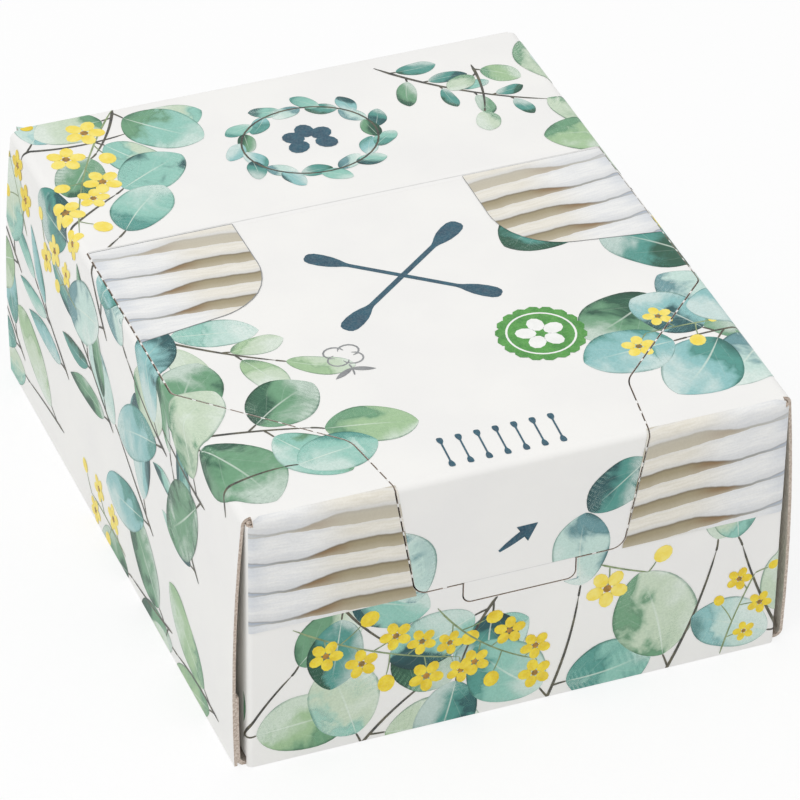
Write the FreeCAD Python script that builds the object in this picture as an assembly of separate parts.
"""Cotton swab box in millimetres: a carton folded from printed board, its tear-open lid and the swabs inside.

The origin is at the middle of the base. +Z is up and the front wall, with the lid's pull tab, faces -Y.
"""
import FreeCAD, Part
import math
import os

from FreeCAD import Vector

# Driving sizes of the folded carton
box_width = 80.0  # across the top panel, from crease to crease
box_depth = 100.7  # front face to back face
box_height = 42.4
board = 0.45  # thickness of the folding board
side_crease_inside = 0.85  # inner radius where the top turns down into a side wall
front_crease_inside = 0.55  # inner radius where the top turns down into the front or back wall
corner_fold_inside = 0.35  # inner radius where the front or back wall turns into its glued tabs

# The side walls are only held at their top and bottom, so they bow and stand wider at the base
wall_bow = 1.2  # how far the middle of a side wall stands out
wall_splay = 1.1  # how far its foot stands out
wall_setback = 1.0  # raw front and back edges of the side walls behind the end faces

# Tabs and flaps that are glued inside
tab_fit = 0.1  # gap between a glued tab and the side wall beside it
tab_length = 12.0
tab_top_gap = 0.6  # under the top panel
tab_foot_gap = 1.0  # over the bottom panel
end_flap_drop = 6.3  # from the pull tab down to the bottom panel's flaps behind the front and back walls
glue_flap_height = 12.0  # flap of the bottom panel behind the left wall
fold_bevel = 0.6  # the inner folds are too tight for a radius

# Lid: distances from the front face, and half widths from the middle of the box
hinge_distance = 66.5
tear_corner_distance = 30.5  # where the tear line leaves the side crease
throat_distance = 12.0  # where it turns towards the front edge
throat_half_width = 20.2
lid_half_width_at_crease = 18.3
lid_half_width_at_foot = 15.2
lid_drop = 18.7  # how far the lid comes down the front wall
crease_reach = 0.5  # how far the lid reaches round the side crease
tear_corner_radius = 2.0
throat_radius = 4.0
lid_foot_radius = 2.0
hinge_gap = 0.1  # width of the scored hinge line

# Pull tab under the lid's front edge
pull_tab_half_width = 8.2
pull_tab_height = 3.4
pull_tab_radius = 1.2
pull_tab_score = 0.1  # width of the scored line over the tab

# Perforation: short cuts with uncut nicks between them
cut_width = 0.22
nick_length = 0.6
nick_pitch = 2.3
nick_gap = 0.03  # what a nick leaves of the cut's width

# Swabs
swab_end_room = 2.0  # between a swab's end and the glued tabs
stem_radius = 1.15
head_radius = 2.35
head_length = 14.0
tip_radius = 1.6
tip_length = 3.0  # from the end to the head's widest place
row_end_room = 0.2  # between a row's last swab and the flaps
least_swab_gap = 0.05  # between the heads in one row, before the rest of the room is shared out
row_gap = 0.02  # between the heads of two rows
rest_gap = 0.05  # under the lowest row
least_headroom = 0.1  # over the top row
top_row_sides = 8  # the row on top, which shows when the lid is open
hidden_row_sides = 5

# Worked out from the sizes above
half_width = box_width / 2
half_depth = box_depth / 2
front_y = -half_depth
hinge_y = front_y + hinge_distance
lid_foot_z = box_height - lid_drop
pull_tab_foot_z = lid_foot_z - pull_tab_height
end_flap_height = pull_tab_foot_z - end_flap_drop
side_crease_radius = side_crease_inside + board
front_crease_radius = front_crease_inside + board
corner_fold_radius = corner_fold_inside + board
crease_z = box_height - side_crease_radius
tab_outer_x = half_width - board - tab_fit
flat_front_half_width = tab_outer_x - corner_fold_radius
lid_half_width = half_width - side_crease_radius + crease_reach
swab_length = 2 * (tab_outer_x - board - swab_end_room)
margin = 5.0  # how far a cutting prism reaches past the board


def arc(start, through, end):
    """An arc edge through three points."""
    return Part.Arc(start, through, end).toShape()


def line(start, end):
    return Part.LineSegment(start, end).toShape()


def quarter(centre, radius, start_degrees, plane):
    """A quarter circle edge that turns anticlockwise in the plane 'xz', 'yz' or 'xy'."""

    def at(degrees):
        a = math.radians(start_degrees + degrees)
        across, along = radius * math.cos(a), radius * math.sin(a)
        offset = {
            "xz": Vector(across, 0, along),
            "yz": Vector(0, across, along),
            "xy": Vector(across, along, 0),
        }[plane]
        return centre + offset

    return arc(at(0), at(45), at(90))


def face_of(edges):
    """A flat face inside a closed run of edges."""
    return Part.Face(Part.Wire(Part.__sortEdges__(edges)))


def flat_face(corners):
    return Part.Face(Part.makePolygon(corners + corners[:1]))


def prism(face, direction):
    return face.extrude(direction)


def rounded_outline(corners, place):
    """A closed wire through (a, b, radius) corners, each rounded by its radius. place(a, b) gives a point."""
    edges = []
    ends = []
    count = len(corners)
    for i in range(count):
        a, b, radius = corners[i]
        here = Vector(a, b, 0)
        before = Vector(*corners[i - 1][:2], 0)
        after = Vector(*corners[(i + 1) % count][:2], 0)
        back = (before - here).normalize()
        ahead = (after - here).normalize()
        if radius == 0:
            ends.append((here, here))
            continue
        half_angle = back.getAngle(ahead) / 2
        reach = radius / math.tan(half_angle)
        bisector = (back + ahead).normalize()
        centre = here + bisector * (radius / math.sin(half_angle))
        start, end = here + back * reach, here + ahead * reach
        middle = centre - bisector * radius
        edges.append(arc(place(*start[:2]), place(*middle[:2]), place(*end[:2])))
        ends.append((start, end))
    for i in range(count):
        leave, arrive = ends[i][1], ends[(i + 1) % count][0]
        if (arrive - leave).Length > 1e-6:
            edges.append(line(place(*leave[:2]), place(*arrive[:2])))
    return Part.Wire(Part.__sortEdges__(edges))


def wall_x(z):
    """How far a side wall's outer face stands from the middle at height z, on a shallow curve."""
    middle_z = box_height / 2
    top, middle, foot = half_width, half_width + wall_bow, half_width + wall_splay
    span_above, span_below = crease_z - middle_z, middle_z
    slope_above = (top - middle) / span_above
    slope_below = (middle - foot) / span_below
    bend = (slope_above - slope_below) / (span_above + span_below)
    return middle + (z - middle_z) * (slope_below + bend * (z - middle_z + span_below))


def wall_edge(side, inset, low_z, high_z):
    """The curve of a side wall's face in the section, set in by inset. side is -1 for left, 1 for right."""
    heights = (low_z, (low_z + high_z) / 2, high_z)
    points = [Vector(side * (wall_x(z) - inset), 0, z) for z in heights]
    return arc(*points), points[0], points[2]


def top_corner(side, radius):
    """The bend from the top panel into a side wall, from the wall up to the panel."""
    centre = Vector(side * (half_width - side_crease_radius), 0, crease_z)
    start_degrees = 0 if side > 0 else 90
    return quarter(centre, radius, start_degrees, "xz")


def sleeve_section():
    """Cross-section of the top, both side walls, the bottom and the glue flap."""
    outer_radius, inner_radius = side_crease_radius, side_crease_inside
    flat_half = half_width - side_crease_radius
    foot_centre = Vector(wall_x(side_crease_radius) - side_crease_radius, 0, side_crease_radius)
    down = Vector(0, 0, -1)

    left_outer, left_outer_low, _ = wall_edge(-1, 0, 0, crease_z)
    right_outer, _, _ = wall_edge(1, 0, foot_centre.z, crease_z)
    pocket_top = Vector(-(wall_x(fold_bevel) - board), 0, fold_bevel)
    pocket_side = Vector(-(wall_x(0) - board), 0, 0)
    pocket_foot = pocket_side + Vector(fold_bevel, 0, 0)
    outer = [
        left_outer,
        top_corner(-1, outer_radius),
        line(Vector(-flat_half, 0, box_height), Vector(flat_half, 0, box_height)),
        top_corner(1, outer_radius),
        right_outer,
        quarter(foot_centre, outer_radius, 270, "xz"),
        line(foot_centre + down * outer_radius, pocket_foot),
        line(pocket_foot, pocket_top),
        line(pocket_top, pocket_side),
        line(pocket_side, left_outer_low),
    ]

    left_inner, left_inner_low, _ = wall_edge(-1, board, glue_flap_height, crease_z)
    flap_inner, flap_low, flap_high = wall_edge(-1, 2 * board, fold_bevel + board, glue_flap_height)
    right_inner, _, _ = wall_edge(1, board, foot_centre.z, crease_z)
    flap_foot = Vector(flap_low.x + fold_bevel, 0, board)
    ceiling = box_height - board
    inner = [
        left_inner,
        top_corner(-1, inner_radius),
        line(Vector(-flat_half, 0, ceiling), Vector(flat_half, 0, ceiling)),
        top_corner(1, inner_radius),
        right_inner,
        quarter(foot_centre, inner_radius, 270, "xz"),
        line(foot_centre + down * inner_radius, flap_foot),
        line(flap_foot, flap_low),
        flap_inner,
        line(flap_high, left_inner_low),
    ]
    return face_of(outer).cut(face_of(inner))


def sleeve():
    """The tube of the top, the side walls and the bottom, as long as the side walls."""
    start_y = front_y + wall_setback
    length = box_depth - 2 * wall_setback
    section = sleeve_section()
    section.translate(Vector(0, start_y, 0))
    return prism(section, Vector(0, length, 0))


def hanging_wall():
    """The front wall's board, from the top panel round the front crease and down to the base."""
    bend_y, bend_z = front_y + front_crease_radius, box_height - front_crease_radius
    root_y = front_y + wall_setback + margin
    inner_y, ceiling = front_y + board, box_height - board

    def at(y, z):
        return Vector(-flat_front_half_width, y, z)

    edges = [
        line(at(root_y, box_height), at(bend_y, box_height)),
        quarter(at(bend_y, bend_z), front_crease_radius, 90, "yz"),
        line(at(front_y, bend_z), at(front_y, 0)),
        line(at(front_y, 0), at(inner_y, 0)),
        line(at(inner_y, 0), at(inner_y, bend_z)),
        quarter(at(bend_y, bend_z), front_crease_inside, 90, "yz"),
        line(at(bend_y, ceiling), at(root_y, ceiling)),
        line(at(root_y, ceiling), at(root_y, box_height)),
    ]
    return prism(face_of(edges), Vector(2 * flat_front_half_width, 0, 0))


def end_flap():
    """The bottom panel's flap, which turns up behind the front wall and is glued to it."""
    outer_y = front_y + board
    inner_y = outer_y + board
    root_y = front_y + wall_setback + margin

    def at(y, z):
        return Vector(-flat_front_half_width, y, z)

    corners = [
        at(root_y, 0),
        at(outer_y + fold_bevel, 0),
        at(outer_y, fold_bevel),
        at(outer_y, end_flap_height),
        at(inner_y, end_flap_height),
        at(inner_y, fold_bevel + board),
        at(inner_y + fold_bevel, board),
        at(root_y, board),
    ]
    return prism(flat_face(corners), Vector(2 * flat_front_half_width, 0, 0))


def corner_tab(side):
    """The front wall's vertical fold and the tab behind it, which is glued inside a side wall."""
    fold_top = box_height - board - tab_top_gap
    centre = Vector(side * flat_front_half_width, front_y + corner_fold_radius, 0)
    start = 180 if side < 0 else 270
    outer = quarter(centre, corner_fold_radius, start, "xy")
    inner = quarter(centre, corner_fold_inside, start, "xy")
    fold = face_of(
        [
            outer,
            inner,
            line(outer.Vertexes[0].Point, inner.Vertexes[0].Point),
            line(outer.Vertexes[1].Point, inner.Vertexes[1].Point),
        ]
    )
    tab_x = tab_outer_x - board if side > 0 else -tab_outer_x
    tab_foot = board + tab_foot_gap
    tab = Part.makeBox(
        board, tab_length, fold_top - tab_foot, Vector(tab_x, front_y + corner_fold_radius, tab_foot)
    )
    return prism(fold, Vector(0, 0, fold_top)).fuse(tab)


def end_wall():
    """The front wall with its folds, tabs and the flap glued behind it. The back wall is the same one turned."""
    return hanging_wall().multiFuse([end_flap(), corner_tab(-1), corner_tab(1)])


def lid_top_corners():
    """Corners of the lid in plan, from the hinge round to the hinge, as (x, y, rounding radius)."""
    tear_y = front_y + tear_corner_distance
    throat_y = front_y + throat_distance
    half = [
        (lid_half_width, hinge_y - hinge_gap, 0),
        (lid_half_width, tear_y, tear_corner_radius),
        (throat_half_width, throat_y, throat_radius),
        (lid_half_width_at_crease, front_y, 0),
        (lid_half_width_at_crease, front_y - margin, 0),
    ]
    return half + [(-x, y, r) for x, y, r in reversed(half)]


def lid_front_corners(head_z):
    """Corners of the lid on the front wall, as (x, z, rounding radius)."""
    half = [
        (lid_half_width_at_crease, head_z, 0),
        (lid_half_width_at_foot, lid_foot_z, lid_foot_radius),
    ]
    return half + [(-x, z, r) for x, z, r in reversed(half)]


def pull_tab_corners(head_z):
    half = [
        (pull_tab_half_width, head_z, 0),
        (pull_tab_half_width, pull_tab_foot_z, pull_tab_radius),
    ]
    return half + [(-x, z, r) for x, z, r in reversed(half)]


def grown(wire, growth):
    """A face inside the wire, with its edge moved outwards by growth."""
    face = Part.Face(wire)
    return face.makeOffset2D(growth) if growth else face


def lid_space(growth):
    """The space that holds the lid, over and in front of the box, grown all round by growth."""
    bend_z = box_height - front_crease_radius
    top = rounded_outline(lid_top_corners(), lambda x, y: Vector(x, y, bend_z))
    front = rounded_outline(lid_front_corners(bend_z), lambda x, z: Vector(x, front_y - margin, z))
    over = prism(grown(top, growth), Vector(0, 0, front_crease_radius + margin))
    ahead = prism(grown(front, growth), Vector(0, margin + front_crease_radius, 0))
    below_bend = Part.makeBox(
        box_width, 2 * margin, box_height, Vector(-half_width, front_y - margin, bend_z - box_height)
    )
    return over.fuse(ahead.common(below_bend))


def pull_tab_space(growth):
    outline = rounded_outline(pull_tab_corners(lid_foot_z), lambda x, z: Vector(x, front_y - margin, z))
    return prism(grown(outline, growth), Vector(0, margin + board, 0))


def folded_board():
    """The folded and glued carton before its tear line is cut."""
    front = end_wall()
    back = end_wall()
    back.rotate(Vector(0, 0, 0), Vector(0, 0, 1), 180)
    return sleeve().multiFuse([front, back])


def behind(y):
    """All the space behind y."""
    return Part.makeBox(
        2 * box_width, 2 * box_depth, 2 * box_height, Vector(-box_width, y, -box_height / 2)
    )


def carton(whole):
    """The folded board less the openings of the lid and the pull tab."""
    opening = lid_space(cut_width).cut(behind(hinge_y))
    return whole.cut(opening).cut(pull_tab_space(cut_width)).removeSplitter()


def tear_runs():
    """The straight runs of the tear line on the right half, as (start, end, direction through the board)."""
    hinge_end, tear_corner, throat, top_foot = [
        Vector(x, y, box_height) for x, y, _ in lid_top_corners()[:4]
    ]
    head = Vector(lid_half_width_at_crease, front_y, box_height - front_crease_radius)
    foot = Vector(lid_half_width_at_foot, front_y, lid_foot_z)
    tab_side = Vector(pull_tab_half_width, front_y, lid_foot_z)
    down, backwards = Vector(0, 0, -1), Vector(0, 1, 0)
    corner_to_corner = [
        (hinge_end, tear_corner, nick_length, tear_corner_radius, down),
        (tear_corner, throat, tear_corner_radius, throat_radius, down),
        (throat, top_foot, throat_radius, front_crease_radius, down),
        (head, foot, nick_length, lid_foot_radius, backwards),
        (foot, tab_side, lid_foot_radius, nick_length, backwards),
    ]
    runs = []
    for start, end, start_gap, end_gap, through in corner_to_corner:
        along = (end - start).normalize()
        runs.append((start + along * start_gap, end - along * end_gap, through))
    return runs


def nick_space(point, along, through):
    """The space of one uncut bridge across the cut, as a block that goes through the board both ways."""
    outward = along.cross(through)
    reach = cut_width - nick_gap
    corner = point - along * (nick_length / 2) - outward * reach - through * side_crease_radius
    length, across = along * nick_length, outward * (2 * reach)
    block = flat_face([corner, corner + length, corner + length + across, corner + across])
    return prism(block, through * (2 * side_crease_radius))


def nick_spaces():
    """The spaces of all the nicks, on both halves of the tear line."""
    spaces = []
    for start, end, through in tear_runs():
        length = (end - start).Length
        along = (end - start).normalize()
        count = max(1, int(length / nick_pitch))
        for i in range(count):
            space = nick_space(start + along * (length * (i + 0.5) / count), along, through)
            spaces += [space, space.mirror(Vector(0, 0, 0), Vector(1, 0, 0))]
    return spaces


def lid(whole):
    """The part of the folded board inside the tear line, with the nicks along its edge."""
    space = lid_space(0).multiFuse(nick_spaces()).cut(behind(hinge_y - hinge_gap))
    return whole.common(space).removeSplitter()


def pull_tab():
    """The tab under the lid's front edge, cut free on three sides and scored along its top."""
    outline = rounded_outline(
        pull_tab_corners(lid_foot_z - pull_tab_score), lambda x, z: Vector(x, front_y, z)
    )
    return prism(Part.Face(outline), Vector(0, board, 0))


def ring(x, radius, sides):
    """The corners of a many-sided ring across a swab."""
    turn = math.pi / sides
    angles = [turn * (2 * i + 1) for i in range(sides)]
    return [Vector(x, radius * math.cos(a), radius * math.sin(a)) for a in angles]


def swab(sides, profile):
    """A flat-sided swab along X about its middle. profile lists a head's (distance from the end, radius)."""
    half = swab_length / 2
    rings = [ring(-half + distance, radius, sides) for distance, radius in profile]
    rings += [ring(half - distance, radius, sides) for distance, radius in reversed(profile)]
    faces = [flat_face(rings[0]), flat_face(rings[-1])]
    for near, far in zip(rings, rings[1:]):
        for i in range(sides):
            j = (i + 1) % sides
            faces.append(flat_face([near[i], near[j], far[j], far[i]]))
    return Part.Solid(Part.makeShell(faces))


def swab_row_shapes():
    """Rows of swabs that fill the carton. Each second row lies in the hollows of the row below it."""
    head = 2 * head_radius
    row_space = box_depth - 4 * board - 2 * row_end_room - head
    swabs_in_row = int(row_space / (head + least_swab_gap) + 0.5)
    swab_pitch = row_space / (swabs_in_row - 0.5)
    row_pitch = math.sqrt((head + row_gap) ** 2 - (swab_pitch / 2) ** 2)
    stack_space = box_height - 2 * board - rest_gap - least_headroom - head
    row_count = int(stack_space / row_pitch) + 1

    shown_profile = [(0, tip_radius), (tip_length, head_radius), (head_length, stem_radius)]
    hidden_profile = [(0, head_radius), (head_length, stem_radius)]
    first_y = -row_space / 2
    lowest_z = board + rest_gap + head_radius
    rows = {}
    for row in range(row_count):
        on_top = row == row_count - 1
        one = swab(top_row_sides, shown_profile) if on_top else swab(hidden_row_sides, hidden_profile)
        shift = swab_pitch / 2 if row % 2 else 0
        swabs = []
        for i in range(swabs_in_row):
            copy = one.copy()
            copy.translate(Vector(0, first_y + shift + i * swab_pitch, lowest_z + row * row_pitch))
            swabs.append(copy)
        rows[f"swab_row_{row + 1:02d}"] = Part.Compound(swabs)
    return rows


def main():
    os.makedirs("parts", exist_ok=True)
    whole = folded_board()
    shapes = {"carton": carton(whole), "lid": lid(whole), "pull_tab": pull_tab(), **swab_row_shapes()}
    for name, shape in shapes.items():
        shape.exportStep(f"parts/{name}.step")
        print(name, "valid", shape.isValid(), "solids", len(shape.Solids), "faces", len(shape.Faces))


main()
